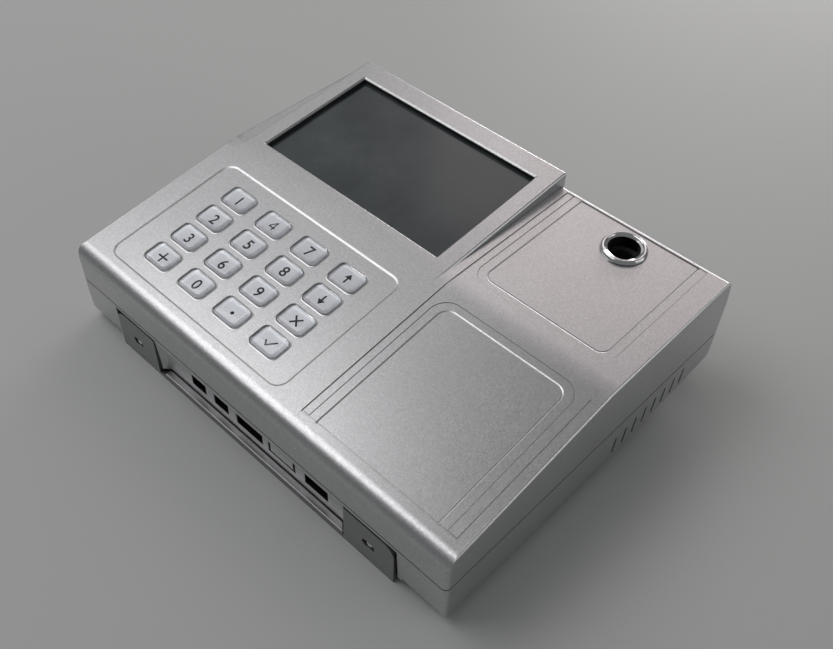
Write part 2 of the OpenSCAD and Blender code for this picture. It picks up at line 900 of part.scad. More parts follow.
placed() front_cover();
placed() rear_cover();
for (i = [0:3], j = [0:3]) {
  placed() key_at(i, j);
}
placed() key_mat();
placed() key_board();
placed() key_board_screws();
placed() display_window();
placed() window_gasket();
placed() display_panel();
placed() display_frame();
placed() display_board();
placed() display_screws();
placed() socket_ring();
placed() socket_nut();
placed() socket_cup();
placed() reader_board();
placed() reader_board_screws();
placed() main_board();
placed() processor();
placed() network_jack();
placed() usb_socket();
placed() power_jack();
placed() signal_jack();
placed() buzzer();
placed() clock_battery();
placed() battery_holder();
placed() backup_battery();
placed() board_headers();
placed() display_ribbon();
placed() keypad_ribbon();
placed() reader_ribbon();
placed() main_board_screws();
placed() case_screws();
placed() wall_bracket();
placed() bracket_screws();
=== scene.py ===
"""Desktop time clock: finishes, detail pieces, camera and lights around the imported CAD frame."""
import json
import math

import bmesh
import bpy
from mathutils import Matrix, Vector


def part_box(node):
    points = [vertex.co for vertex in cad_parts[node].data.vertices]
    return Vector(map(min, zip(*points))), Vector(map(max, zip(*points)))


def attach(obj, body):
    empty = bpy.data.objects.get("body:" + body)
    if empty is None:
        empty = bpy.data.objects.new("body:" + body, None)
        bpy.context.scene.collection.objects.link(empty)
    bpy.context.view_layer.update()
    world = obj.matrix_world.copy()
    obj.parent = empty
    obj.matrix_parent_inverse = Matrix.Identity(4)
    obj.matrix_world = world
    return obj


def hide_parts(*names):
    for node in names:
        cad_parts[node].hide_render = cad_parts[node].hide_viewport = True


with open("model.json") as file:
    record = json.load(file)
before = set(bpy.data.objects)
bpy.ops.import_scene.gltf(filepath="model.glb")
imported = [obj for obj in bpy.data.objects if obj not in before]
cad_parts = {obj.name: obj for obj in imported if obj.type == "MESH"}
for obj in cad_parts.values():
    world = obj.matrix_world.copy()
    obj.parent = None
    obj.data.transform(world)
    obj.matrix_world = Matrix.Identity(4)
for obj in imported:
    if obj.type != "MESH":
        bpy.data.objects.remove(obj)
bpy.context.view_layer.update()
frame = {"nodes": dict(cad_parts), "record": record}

MM = 0.001
# Points whose heights or edges differ by less than this are taken as level.
NEAR = 0.02 * MM
nodes = frame["nodes"]
scene = bpy.context.scene

# Key legends: node name, then the character or the drawn symbol that the key shows.
LEGENDS = {
    "key_plus": "plus", "key_0": "0", "key_point": "point", "key_enter": "check",
    "key_3": "3", "key_6": "6", "key_9": "9", "key_cancel": "cross",
    "key_2": "2", "key_5": "5", "key_8": "8", "key_down": "down",
    "key_1": "1", "key_4": "four", "key_7": "7", "key_up": "up",
}


# ---------------------------------------------------------------- tilted faces


class Face:
    """A flat face of the top that is tilted about X: (x, v, n) are across, up and out of it.

    Its tilt is that of a node which lies along it, such as a board or the window."""

    def __init__(self, node):
        polygons = [p for p in nodes[node].data.polygons if p.normal.z > 0.9]
        normal = max(polygons, key=lambda p: p.area).normal.copy()
        self.turn = Matrix.Rotation(math.atan2(-normal.y, normal.z), 3, "X")
        self.back = self.turn.inverted()
        cover = nodes["front_cover"].data
        flat = [p for p in cover.polygons if p.normal.dot(normal) > 0.99998]
        self.top = max((self.back @ p.center).z for p in flat)
        corners = {i for p in flat for i in p.vertices}
        self.points = [self.back @ cover.vertices[i].co for i in corners]

    def extent(self, node):
        """Lowest and highest (x, v, n) of a node."""
        return limits([self.back @ v.co for v in nodes[node].data.vertices])

    def sunk(self, depth, x_low, x_high):
        """Rectangle of the cover's points at a depth below the face, and its corner radius."""
        level = self.top - depth
        points = [p for p in self.points if abs(p.z - level) < NEAR and x_low < p.x < x_high]
        low, high = limits(points)
        back = [p.x for p in points if high.y - p.y < NEAR]
        front = [p.x for p in points if p.y - low.y < NEAR]
        radius = max(min(back), min(front)) - low.x
        return low.x, high.x, low.y, high.y, radius

    def world(self, x, v, n):
        return self.turn @ Vector((x, v, n))


def limits(points):
    """Lowest and highest corner of the box round some points."""
    low = Vector(min(p[i] for p in points) for i in range(3))
    high = Vector(max(p[i] for p in points) for i in range(3))
    return low, high


slope = Face("key_board")
hood = Face("display_window")
deck = Face("socket_nut")


# ---------------------------------------------------------------- mesh helpers


def link(name, mesh, slot, body="case", node=None):
    """Puts a mesh in the scene as a piece that rides on a body."""
    piece = bpy.data.objects.new(name, mesh)
    scene.collection.objects.link(piece)
    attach(piece, body)
    if node:
        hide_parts(node)
    return piece


def finish_mesh(bm, name, smooth_deg=35.0):
    """Turns a bmesh into a mesh that shades smooth up to an angle and sharp beyond it."""
    mesh = bpy.data.meshes.new(name)
    bmesh.ops.recalc_face_normals(bm, faces=bm.faces)
    bm.to_mesh(mesh)
    bm.free()
    mesh.polygons.foreach_set("use_smooth", [True] * len(mesh.polygons))
    mesh.set_sharp_from_angle(angle=math.radians(smooth_deg))
    return mesh


def rounded_outline(width, depth, radius, steps=8):
    """Points round a rectangle with round corners, centred on the origin."""
    radius = max(min(radius, width / 2, depth / 2), 1e-5)
    points = []
    for corner in range(4):
        cx = (width / 2 - radius) * (1 if corner in (0, 3) else -1)
        cy = (depth / 2 - radius) * (1 if corner in (0, 1) else -1)
        for i in range(steps + 1):
            angle = math.pi / 2 * (corner + i / steps)
            points.append((cx + radius * math.cos(angle), cy + radius * math.sin(angle)))
    return points


def circle_outline(radius, steps=48):
    """Points round a circle, centred on the origin."""
    return [
        (radius * math.cos(2 * math.pi * i / steps), radius * math.sin(2 * math.pi * i / steps))
        for i in range(steps)
    ]


def loft(bm, rings, cyclic=False):
    """Joins rings of the same number of points with quads; the ends are joined or capped."""
    made = [[bm.verts.new(p) for p in ring] for ring in rings]
    following = made[1:] + ([made[0]] if cyclic else [])
    for a, b in zip(made, following):
        count = len(a)
        for i in range(count):
            bm.faces.new((a[i], a[(i + 1) % count], b[(i + 1) % count], b[i]))
    if not cyclic:
        bm.faces.new(list(reversed(made[0])))
        bm.faces.new(made[-1])


def plate_rings(face, centre, width, depth, radius, profile, steps=8):
    """Rings of a rounded plate on a face: the profile is (inset, height n) pairs."""
    rings = []
    for inset, n in profile:
        outline = rounded_outline(width - 2 * inset, depth - 2 * inset, radius - inset, steps)
        rings.append([face.world(centre[0] + x, centre[1] + y, n) for x, y in outline])
    return rings


# ---------------------------------------------------------------- materials


def new_material(name, colour, metallic=0.0, roughness=0.5, **sockets):
    """A Principled material; sockets are set directly on the shader by their names."""
    mat = bpy.data.materials.new(name)
    mat.use_nodes = True
    tree = mat.node_tree
    shader = tree.nodes["Principled BSDF"]
    shader.inputs["Base Color"].default_value = (*colour, 1.0)
    shader.inputs["Metallic"].default_value = metallic
    shader.inputs["Roughness"].default_value = roughness
    for socket, value in sockets.items():
        shader.inputs[socket.replace("_", " ")].default_value = value
    coords = tree.nodes.new("ShaderNodeTexCoord")
    return mat, tree, shader, coords.outputs["Object"]


def noise(tree, coords, scale, detail=3.0, rough=0.55, stretch=None):
    """Noise factor; stretch scales the pattern along each axis."""
    node = tree.nodes.new("ShaderNodeTexNoise")
    node.inputs["Scale"].default_value = scale
    node.inputs["Detail"].default_value = detail
    node.inputs["Roughness"].default_value = rough
    if stretch:
        mapping = tree.nodes.new("ShaderNodeMapping")
        mapping.inputs["Scale"].default_value = stretch
        tree.links.new(coords, mapping.inputs["Vector"])
        coords = mapping.outputs["Vector"]
    tree.links.new(coords, node.inputs["Vector"])
    return node.outputs["Fac"]


def ramp(tree, fac, stops):
    """Colour ramp; stops are (position, colour) with grey given as one number."""
    node = tree.nodes.new("ShaderNodeValToRGB")
    elements = node.color_ramp.elements
    while len(elements) < len(stops):
        elements.new(0.5)
    for element, (position, colour) in zip(elements, stops):
        element.position = position
        rgb = (colour,) * 3 if isinstance(colour, (int, float)) else colour
        element.color = (*rgb, 1.0)
    tree.links.new(fac, node.inputs["Fac"])
    return node.outputs["Color"]


def remap(tree, fac, low, high, from_low=0.3, from_high=0.7):
    """Maps a factor from one range, by default where noise mostly lies, to another."""
    node = tree.nodes.new("ShaderNodeMapRange")
    node.inputs["From Min"].default_value = from_low
    node.inputs["From Max"].default_value = from_high
    node.inputs["To Min"].default_value = low
    node.inputs["To Max"].default_value = high
    tree.links.new(fac, node.inputs["Value"])
    return node.outputs["Result"]


def mix_colour(tree, a, b, fac):
    """Colour a, multiplied by colour b as far as the factor says."""
    node = tree.nodes.new("ShaderNodeMix")
    node.data_type = "RGBA"
    node.blend_type = "MULTIPLY"
    node.inputs["Factor"].default_value = fac
    tree.links.new(a, node.inputs["A"])
    tree.links.new(b, node.inputs["B"])
    return node.outputs["Result"]


def bump(tree, shader, fac, distance, strength=1.0, below=None):
    """Fine relief on a shader, on top of the relief below it if there is one."""
    node = tree.nodes.new("ShaderNodeBump")
    node.inputs["Strength"].default_value = strength
    node.inputs["Distance"].default_value = distance
    tree.links.new(fac, node.inputs["Height"])
    if below is not None:
        tree.links.new(below, node.inputs["Normal"])
    tree.links.new(node.outputs["Normal"], shader.inputs["Normal"])
    return node.outputs["Normal"]


def shade_in_corners(tree, colour, reach, floor):
    """Painted shade: darkens a colour in narrow grooves and gaps, where the light doesn't reach."""
    corner = tree.nodes.new("ShaderNodeAmbientOcclusion")
    corner.samples = 6
    corner.inputs["Distance"].default_value = reach
    dark = ramp(tree, corner.outputs["AO"], [(0.22, floor), (0.75, 1.0)])
    return mix_colour(tree, colour, dark, 1.0)


def flake_paint(name, colour, metallic, roughness):
    """Sprayed silver: metal flakes of a third of a millimetre under a thin satin coat."""
    mat, tree, shader, coords = new_material(
        name, colour, metallic, roughness, Coat_Weight=0.12, Coat_Roughness=0.28
    )
    cells = tree.nodes.new("ShaderNodeTexVoronoi")
    cells.inputs["Scale"].default_value = 2600.0
    tree.links.new(coords, cells.inputs["Vector"])
    split = tree.nodes.new("ShaderNodeSeparateColor")
    tree.links.new(cells.outputs["Color"], split.inputs["Color"])
    low = tuple(c * (1 - 0.13) for c in colour)
    high = tuple(min(1.0, c * (1 + 0.12)) for c in colour)
    flakes = ramp(tree, split.outputs["Red"], [(0.0, low), (0.72, colour), (1.0, high)])
    cloud = ramp(tree, noise(tree, coords, 22.0, 4.0), [(0.3, 0.955), (0.7, 1.0)])
    # Painted shade: the flake colour is darkened, down to 0.3 of itself, in grooves and gaps within
    # 1.2 mm.
    body = shade_in_corners(tree, mix_colour(tree, flakes, cloud, 1.0), 1.2 * MM, 0.3)
    tree.links.new(body, shader.inputs["Base Color"])
    satin = remap(tree, split.outputs["Green"], roughness - 0.05, roughness + 0.06, 0.0, 1.0)
    tree.links.new(satin, shader.inputs["Roughness"])
    skin = bump(tree, shader, noise(tree, coords, 420.0, 2.0), 0.03 * MM, 0.55)
    bump(tree, shader, split.outputs["Blue"], 0.012 * MM, 0.8, skin)
    return mat


def lip_paint(name, colour, roughness):
    """The housing's silver on the small lips round the keys, with fine flakes only."""
    mat, tree, shader, coords = new_material(name, colour, 0.9, roughness)
    low = tuple(c * 0.9 for c in colour)
    flakes = ramp(tree, noise(tree, coords, 2600.0, 2.0), [(0.3, low), (0.7, colour)])
    tree.links.new(flakes, shader.inputs["Base Color"])
    tree.links.new(remap(tree, noise(tree, coords, 900.0), roughness - 0.04, roughness + 0.05),
                   shader.inputs["Roughness"])
    return mat


def sheet_paint(name, colour, roughness):
    """Thin silver coat on bent sheet steel: smooth, with faint clouding and rubbed spots."""
    mat, tree, shader, coords = new_material(name, colour, 0.96, roughness)
    low = tuple(c * 0.95 for c in colour)
    cloud = ramp(tree, noise(tree, coords, 45.0, 4.0), [(0.3, low), (0.7, colour)])
    # Painted shade: the sheet's colour is darkened nearly to black in slots and beside walls within 2
    # mm.
    body = shade_in_corners(tree, cloud, 2 * MM, 0.02)
    tree.links.new(body, shader.inputs["Base Color"])
    rubbed = remap(tree, noise(tree, coords, 130.0, 4.0), roughness - 0.03, roughness + 0.04)
    tree.links.new(rubbed, shader.inputs["Roughness"])
    return mat


def moulded(name, colour, roughness, **sockets):
    """Moulded plastic or rubber with a fine texture and uneven tone."""
    mat, tree, shader, coords = new_material(name, colour, 0.0, roughness, **sockets)
    low = tuple(c * 0.8 for c in colour)
    high = tuple(min(1.0, c * 1.12 + 0.002) for c in colour)
    tone = ramp(tree, noise(tree, coords, 60.0, 5.0), [(0.3, low), (0.7, high)])
    tree.links.new(tone, shader.inputs["Base Color"])
    tree.links.new(remap(tree, noise(tree, coords, 200.0), roughness - 0.08, roughness + 0.08),
                   shader.inputs["Roughness"])
    bump(tree, shader, noise(tree, coords, 900.0, 3.0), 0.02 * MM, 0.7)
    return mat


def metal(name, colour, roughness, stretch=(1.0, 1.0, 1.0), scratch=900.0, depth=0.008 * MM):
    """Bare or plated metal with a drawn grain along one axis."""
    mat, tree, shader, coords = new_material(name, colour, 1.0, roughness)
    grain = noise(tree, coords, scratch, 4.0, 0.6, stretch)
    low = tuple(c * 0.86 for c in colour)
    tree.links.new(ramp(tree, grain, [(0.3, low), (0.7, colour)]), shader.inputs["Base Color"])
    tree.links.new(remap(tree, grain, roughness - 0.05, roughness + 0.09), shader.inputs["Roughness"])
    bump(tree, shader, grain, depth, 0.6)
    return mat


def clear_plastic(name):
    """Clear moulded key cap with faint flow marks."""
    mat, tree, shader, coords = new_material(
        name, (0.93, 0.945, 0.96), 0.0, 0.05, Transmission_Weight=1.0, IOR=1.47
    )
    tree.links.new(remap(tree, noise(tree, coords, 300.0), 0.02, 0.06), shader.inputs["Roughness"])
    bump(tree, shader, noise(tree, coords, 330.0, 2.0), 0.04 * MM, 0.35)
    return mat


def smoked_window(name):
    """Dark tinted plate with a hazy, slightly dusty surface."""
    mat, tree, shader, coords = new_material(
        name, (0.05, 0.053, 0.058), 0.0, 0.16, IOR=1.49, Coat_Weight=0.25, Coat_Roughness=0.12
    )
    wipes = noise(tree, coords, 26.0, 5.0, 0.62)
    dust = noise(tree, coords, 1500.0, 2.0)
    haze = ramp(tree, wipes, [(0.34, (0.024, 0.032, 0.038)), (0.52, (0.040, 0.051, 0.054)),
                              (0.72, (0.066, 0.078, 0.078))])
    specks = ramp(tree, dust, [(0.69, 1.0), (0.78, 1.9)])
    tree.links.new(mix_colour(tree, haze, specks, 0.6), shader.inputs["Base Color"])
    tree.links.new(remap(tree, wipes, 0.13, 0.34), shader.inputs["Roughness"])
    return mat


def circuit_board(name):
    """Green solder resist with faint copper tracks showing through."""
    mat, tree, shader, coords = new_material(name, (0.02, 0.16, 0.07), 0.0, 0.32)
    tracks = tree.nodes.new("ShaderNodeTexBrick")
    tracks.inputs["Scale"].default_value = 260.0
    tracks.inputs["Mortar Size"].default_value = 0.09
    tracks.inputs["Color1"].default_value = (0.015, 0.12, 0.05, 1.0)
    tracks.inputs["Color2"].default_value = (0.018, 0.15, 0.065, 1.0)
    tracks.inputs["Mortar"].default_value = (0.06, 0.3, 0.12, 1.0)
    tree.links.new(coords, tracks.inputs["Vector"])
    tree.links.new(tracks.outputs["Color"], shader.inputs["Base Color"])
    bump(tree, shader, tracks.outputs["Fac"], 0.03 * MM, 0.6)
    return mat


MATERIALS = {
    "housing_silver": flake_paint("silver_flake_paint", (0.60, 0.60, 0.61), 0.94, 0.33),
    # The bracket's silver is much darker than the housing's: painted shade for the shade the bracket
    # stands in.
    "bracket_silver": sheet_paint("bracket_paint", (0.33, 0.33, 0.335), 0.4),
    "key_clear": clear_plastic("clear_cap"),
    "silicone_grey": moulded("silicone", (0.2, 0.21, 0.22), 0.7),
    "circuit_board": circuit_board("board_green"),
    "screw_steel": metal("zinc_plate", (0.62, 0.62, 0.6), 0.3),
    "screw_bright": metal("bright_plate", (0.95, 0.95, 0.94), 0.35),
    "window_smoke": smoked_window("smoked_window"),
    "seal_black": moulded("seal_foam", (0.012, 0.012, 0.012), 0.85),
    "panel_black": moulded("panel_glass", (0.015, 0.017, 0.02), 0.15),
    "tray_steel": metal("tray_steel", (0.58, 0.58, 0.57), 0.34, (1.0, 20.0, 1.0)),
    "ring_chrome": metal("chrome", (0.83, 0.83, 0.84), 0.09, (1.0, 1.0, 12.0), 500.0, 0.003 * MM),
    "socket_black": moulded("socket_plastic", (0.006, 0.006, 0.006), 0.75),
    "jack_black": moulded("jack_plastic", (0.002, 0.002, 0.002), 0.6, Specular_IOR_Level=0.15),
    "chip_black": moulded("chip_plastic", (0.02, 0.02, 0.021), 0.45),
    "battery_steel": metal("battery_steel", (0.66, 0.66, 0.65), 0.24),
    "battery_wrap": moulded("battery_wrap", (0.03, 0.09, 0.3), 0.35),
    "connector_ivory": moulded("nylon", (0.68, 0.64, 0.53), 0.5),
    "ribbon_ivory": moulded("flat_cable", (0.6, 0.57, 0.5), 0.5),
}
key_film = metal("key_film", (0.84, 0.85, 0.885), 0.4, (1.0, 1.0, 1.0), 1500.0)
key_backing = moulded("key_backing", (0.9, 0.905, 0.92), 0.45)
key_lip = lip_paint("key_lip_paint", (0.66, 0.66, 0.67), 0.36)
# Painted shade: dark grey for thin strips laid at the foot of the pressed steps, where the steps'
# shade falls.
step_shade_paint = lip_paint("step_shade_paint", (0.2, 0.2, 0.195), 0.5)
legend_ink = moulded("legend_ink", (0.004, 0.004, 0.005), 0.6)


def paint(piece, mat):
    """Gives every material slot of an object this material, on the object itself."""
    if not piece.material_slots:
        piece.data.materials.append(mat)
    for slot in piece.material_slots:
        slot.link = "OBJECT"
        slot.material = mat


def paint_frame():
    """Paints every CAD node with the material of its slot."""
    slots = {s["node"]: s["material_slot"] for s in frame["record"]["subparts"]}
    for name, node in nodes.items():
        paint(node, MATERIALS[slots[name]])


# ---------------------------------------------------------------- housing

# Two unit normals whose dot product is above this belong to one flat surface.
SAME_WAY = 0.9999985


def flat_patches(mesh):
    """Area of the flat patch that each face belongs to."""
    sharing = {}
    for face in mesh.polygons:
        for key in face.edge_keys:
            sharing.setdefault(key, []).append(face.index)
    near = [[] for _ in mesh.polygons]
    for pair in sharing.values():
        if len(pair) == 2:
            a, b = pair
            if mesh.polygons[a].normal.dot(mesh.polygons[b].normal) > SAME_WAY:
                near[a].append(b)
                near[b].append(a)
    area = [0.0] * len(mesh.polygons)
    seen = [False] * len(mesh.polygons)
    for start in range(len(mesh.polygons)):
        if seen[start]:
            continue
        seen[start] = True
        patch = [start]
        for index in patch:
            for other in near[index]:
                if not seen[other]:
                    seen[other] = True
                    patch.append(other)
        total = sum(mesh.polygons[i].area for i in patch)
        for index in patch:
            area[index] = total
    return area


def smoothed(node, slot):
    """Copy of a CAD node whose rolled edges shade as curves and whose large faces stay flat."""
    smooth_deg = 24.0
    flat_area = 700 * MM * MM
    bm = bmesh.new()
    bm.from_mesh(nodes[node].data)
    bmesh.ops.remove_doubles(bm, verts=bm.verts, dist=0.002 * MM)
    mesh = bpy.data.meshes.new(node + "_skin")
    bm.to_mesh(mesh)
    bm.free()
    area = flat_patches(mesh)
    touching = [[] for _ in mesh.vertices]
    for face in mesh.polygons:
        for index in face.vertices:
            touching[index].append(face.index)
    limit = math.cos(math.radians(smooth_deg))
    faces = [(face.normal.copy(), area[face.index]) for face in mesh.polygons]
    normals = []
    for face in mesh.polygons:
        own, size = faces[face.index]
        for index in face.vertices:
            if size > flat_area:
                normals.append(own)
                continue
            mean = Vector()
            used = []
            for other in touching[index]:
                normal, weight = faces[other]
                if normal.dot(own) > limit and all(normal.dot(u) < SAME_WAY for u in used):
                    used.append(normal)
                    mean += normal * weight
            normals.append(mean.normalized())
    mesh.polygons.foreach_set("use_smooth", [True] * len(mesh.polygons))
    mesh.normals_split_custom_set(normals)
    paint(link(node + "_skin", mesh, slot, "case", node), MATERIALS[slot])


def corner_points(cx, cy, radius, start_deg):
    """Points of a quarter circle that turns to the left from a start angle."""
    steps = 12
    angles = [math.radians(start_deg + 90.0 * i / steps) for i in range(steps + 1)]
    return [(cx + radius * math.cos(a), cy + radius * math.sin(a)) for a in angles]


def loop_path(x0, x1, v0, v1, radius, open_side=None):
    """Path round a rounded rectangle, turning left; open at the front or the back if asked."""
    corners = [
        corner_points(x1 - radius, v1 - radius, radius, 0.0),
        corner_points(x0 + radius, v1 - radius, radius, 90.0),
        corner_points(x0 + radius, v0 + radius, radius, 180.0),
        corner_points(x1 - radius, v0 + radius, radius, 270.0),
    ]
    if open_side == "front":
        return [(x1, v0), *corners[0], *corners[1], (x0, v0)]
    if open_side == "back":
        return [(x0, v1), *corners[2], *corners[3], (x1, v1)]
    return [point for corner in corners for point in corner]


def sweep(bm, face, path, section, closed):
    """Sweeps a closed section of (outwards, height) pairs along a path that lies on a face."""
    count = len(path)
    rings = []
    for i, (x, v) in enumerate(path):
        before = Vector(path[i - 1] if closed or i else path[i])
        after = Vector(path[(i + 1) % count] if closed or i < count - 1 else path[i])
        along = (after - before).normalized()
        out = Vector((along.y, -along.x))
        rings.append([face.world(x + out.x * o, v + out.y * o, face.top + n) for o, n in section])
    loft(bm, rings, cyclic=closed)


def bank(dip, width):
    """Section of a gentle bank from a face down to a floor that lies deeper by dip."""
    tuck = 0.05 * MM
    under = dip + tuck
    return [(tuck, -tuck), (0.0, 0.0), (-width * 0.12, -dip * 0.05), (-width * 0.88, -dip * 0.95),
            (-width, -dip), (-width, -under), (tuck, -under)]


def groove(width, top, depth):
    """Section of a groove with a gentle outer bank and a steep inner one."""
    tuck = 0.05 * MM
    low = top - depth
    return [(tuck, top - tuck), (0.0, top), (-width * 0.7, low), (-width * 0.85, low),
            (-width, top), (-width - tuck, top - tuck), (-width - tuck, low - 4 * tuck),
            (tuck, low - 4 * tuck)]


def make_housing():
    """Both covers, with their rolled edges shaded as curves."""
    smoothed("front_cover", "housing_silver")
    smoothed("rear_cover", "housing_silver")


def make_face_lines():
    """Banks and grooves that border the keypad, the card area and the area round the socket, with
    dark strips of painted shade at the foot of the steps.
    """
    dip = 0.4 * MM
    step = 0.2 * MM
    line = 0.8 * MM
    groove_depth = 0.24 * MM
    step_shade_width = 0.24 * MM
    from_hood = (8 * MM, 84 * MM)
    x_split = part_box("display_window")[1].x
    bm = bmesh.new()
    step_shade_strips = bmesh.new()
    x0, x1, v0, v1, radius = slope.sunk(dip, -1.0, x_split)
    sweep(bm, slope, loop_path(x0, x1, v0, v1, radius), bank(dip, 1.0 * MM), True)
    for face, side in ((slope, "front"), (deck, "back")):
        area = face.sunk(step, x_split + from_hood[0], x_split + from_hood[1])
        # Painted shade: a dark strip on the lower floor along the foot of each step.
        sweep(step_shade_strips, face, loop_path(*area, side), bank(step, step_shade_width), False)
        inner = face.sunk(step + dip, area[0] + MM, area[1] - MM)
        sweep(bm, face, loop_path(*inner, side), groove(line, -step, groove_depth), False)
    piece = link("face_lines", finish_mesh(bm, "face_lines", 60.0), "housing_silver")
    paint(piece, MATERIALS["housing_silver"])
    # The strips of painted shade take the dark grey paint.
    piece = link("painted_step_shade", finish_mesh(step_shade_strips, "painted_step_shade", 60.0), "housing_silver")
    paint(piece, step_shade_paint)


def make_window_rim():
    """Narrow chamfer round the display opening, and the black seal that shows below it."""
    low, high = hood.extent("display_window")
    inside = [p for p in hood.points if abs(p.z - hood.top) < NEAR
              and low.x < p.x < high.x and low.y < p.y < high.y]
    low, high = limits(inside)
    pane = hood.extent("display_window")[1].z - hood.top
    opening_radius = MM
    path = loop_path(low.x, high.x, low.y, high.y, opening_radius)
    chamfer = [(0.05, -0.05), (0.0, 0.0), (-0.1, -0.02), (-0.82, -0.56), (-0.9, -0.64),
               (-0.9, -0.9), (0.05, -0.9)]
    lip = [(0.05, -0.92), (-0.98, -0.92), (-1.02, -1.0), (-1.02, pane / MM + 0.03),
           (0.05, pane / MM + 0.03)]
    for name, slot, section in (("window_rim", "housing_silver", chamfer),
                                ("window_seal_lip", "seal_black", lip)):
        bm = bmesh.new()
        sweep(bm, hood, path, [(out * MM, up * MM) for out, up in section], True)
        piece = link(name, finish_mesh(bm, name, 20.0), slot)
        paint(piece, MATERIALS[slot])


# ---------------------------------------------------------------- keys


def key_frame(node):
    """Centre, width, depth and corner radius of a key's cap, and the key's limits, on the slope."""
    points = [slope.back @ v.co for v in nodes[node].data.vertices]
    low, high = limits(points)
    cap = [p for p in points if high.z - p.z < NEAR]
    cap_low, cap_high = limits(cap)
    radius = min(p.x for p in cap if cap_high.y - p.y < NEAR) - cap_low.x
    centre = ((cap_low.x + cap_high.x) / 2, (cap_low.y + cap_high.y) / 2)
    return centre, cap_high.x - cap_low.x, cap_high.y - cap_low.y, radius, low, high


def symbol_polygons(kind):
    """Outlines of a drawn legend in units of its own height, centred."""
    bar = 0.17
    if kind == "plus":
        reach = 0.58
        b = bar / 2
        return [[(-reach, -b), (-b, -b), (-b, -reach), (b, -reach), (b, -b), (reach, -b),
                 (reach, b), (b, b), (b, reach), (-b, reach), (-b, b), (-reach, b)]]
    if kind == "point":
        return [circle_outline(bar, 16)]
    if kind in ("up", "down"):
        s = 1 if kind == "up" else -1
        b = bar * 0.5
        arrow = [(-b, -0.5), (b, -0.5), (b, 0.05), (0.36, 0.05), (0.0, 0.55), (-0.36, 0.05),
                 (-b, 0.05)]
        return [[(x * s, y * s) for x, y in arrow]]
    if kind == "cross":
        b = bar * 0.7
        r = 0.42
        w = b / 2
        bar_a = [(-r - w, -r + w), (-r + w, -r - w), (r + w, r - w), (r - w, r + w)]
        bar_b = [(r - w, -r - w), (r + w, -r + w), (w * 2, 0.0), (0.0, -w * 2)]
        bar_c = [(-w * 2, 0.0), (0.0, w * 2), (-r + w, r + w), (-r - w, r - w)]
        return [bar_a, bar_b, bar_c]
    if kind == "four":
        upright = [(0.1, -0.5), (0.22, -0.5), (0.22, 0.5), (0.1, 0.5)]
        hook = [(-0.38, -0.27), (0.1, -0.27), (0.1, -0.15), (-0.24, -0.15), (0.1, 0.32), (0.1, 0.5),
                (-0.38, -0.15)]
        stub = [(0.22, -0.27), (0.36, -0.27), (0.36, -0.15), (0.22, -0.15)]
        return [upright, hook, stub]
    return [[(-0.55, 0.02), (-0.15, -0.45), (0.6, 0.38), (0.5, 0.48), (-0.15, -0.22), (-0.45, 0.13)]]


def legend_mesh(kind, name, height, place):
    """Mesh of one legend, printed on the key's film; drawn at unit height, then scaled."""
    ink = 0.01
    bm = bmesh.new()
    if len(kind) == 1:
        curve = bpy.data.curves.new(name + "_text", "FONT")
        curve.body = kind
        curve.size = 1.5
        curve.align_x = "CENTER"
        curve.align_y = "CENTER"
        curve.resolution_u = 6
        curve.offset = 0.016
        text = bpy.data.objects.new(name + "_text", curve)
        mesh = bpy.data.meshes.new_from_object(text)
        bpy.data.objects.remove(text)
        bm.from_mesh(mesh)
        bpy.data.meshes.remove(mesh)
        bmesh.ops.remove_doubles(bm, verts=bm.verts, dist=1e-4)
        low, high = limits([v.co for v in bm.verts])
        bmesh.ops.translate(bm, verts=bm.verts, vec=-(low + high) / 2)
    else:
        for outline in symbol_polygons(kind):
            bm.faces.new([bm.verts.new((x, y, 0.0)) for x, y in outline]).normal_update()
        bmesh.ops.triangulate(bm, faces=bm.faces)
    made = bmesh.ops.extrude_face_region(bm, geom=list(bm.faces))
    for v in made["geom"]:
        if isinstance(v, bmesh.types.BMVert):
            v.co.z += ink
    for v in bm.verts:
        v.co = place(v.co.x * height, v.co.y * height, v.co.z * height)
    return finish_mesh(bm, name)


def make_key(node, kind):
    """Clear cap with a bevelled top, a silver film moulded in under it, and its printed legend."""
    centre, width, depth, radius, low, high = key_frame(node)
    top = high.z
    flange_low = top - 5.0 * MM
    flange_high = top - 4.0 * MM
    bm = bmesh.new()
    cap = [(0.0, flange_high), (0.0, top - 0.8 * MM), (0.05 * MM, top - 0.7 * MM),
           (0.9 * MM, top - 0.11 * MM), (1.02 * MM, top - 0.05 * MM), (1.7 * MM, top)]
    loft(bm, plate_rings(slope, centre, width, depth, radius, cap))
    loft(bm, plate_rings(slope, centre, high.x - low.x, high.y - low.y, radius + MM,
                         [(0.1 * MM, flange_low), (0.0, flange_low + 0.1 * MM),
                          (0.0, flange_high - 0.1 * MM), (0.1 * MM, flange_high)]))
    stem_d = 4 * MM
    stem = [(0.0, flange_low), (0.0, low.z + 0.3 * MM), (0.3 * MM, low.z)]
    loft(bm, plate_rings(slope, centre, stem_d, stem_d, stem_d / 2, stem))
    piece = link(node + "_cap", finish_mesh(bm, node + "_cap", 22.0), "key_clear", node, node)
    paint(piece, MATERIALS["key_clear"])

    film_top = top - 2.4 * MM
    base = film_top - 0.3 * MM
    film = [(0.6 * MM, base + 0.02 * MM), (0.6 * MM, film_top - 0.03 * MM), (0.63 * MM, film_top)]
    tray = [(0.05 * MM, base - 0.5 * MM), (0.05 * MM, base - 0.04 * MM), (0.09 * MM, base)]
    for ending, finish, profile in (("_film", key_film, film), ("_backing", key_backing, tray)):
        bm = bmesh.new()
        loft(bm, plate_rings(slope, centre, width, depth, radius, profile))
        paint(link(node + ending, finish_mesh(bm, node + ending), "key_clear", node), finish)

    def place(x, y, z):
        across = centre[0] + x + 0.5 * MM
        up = centre[1] + y - 0.3 * MM
        return slope.world(across, up, film_top + 0.02 * MM + z)

    mesh = legend_mesh(kind, node + "_legend", 4.8 * MM, place)
    paint(link(node + "_legend", mesh, "key_clear", node), legend_ink)


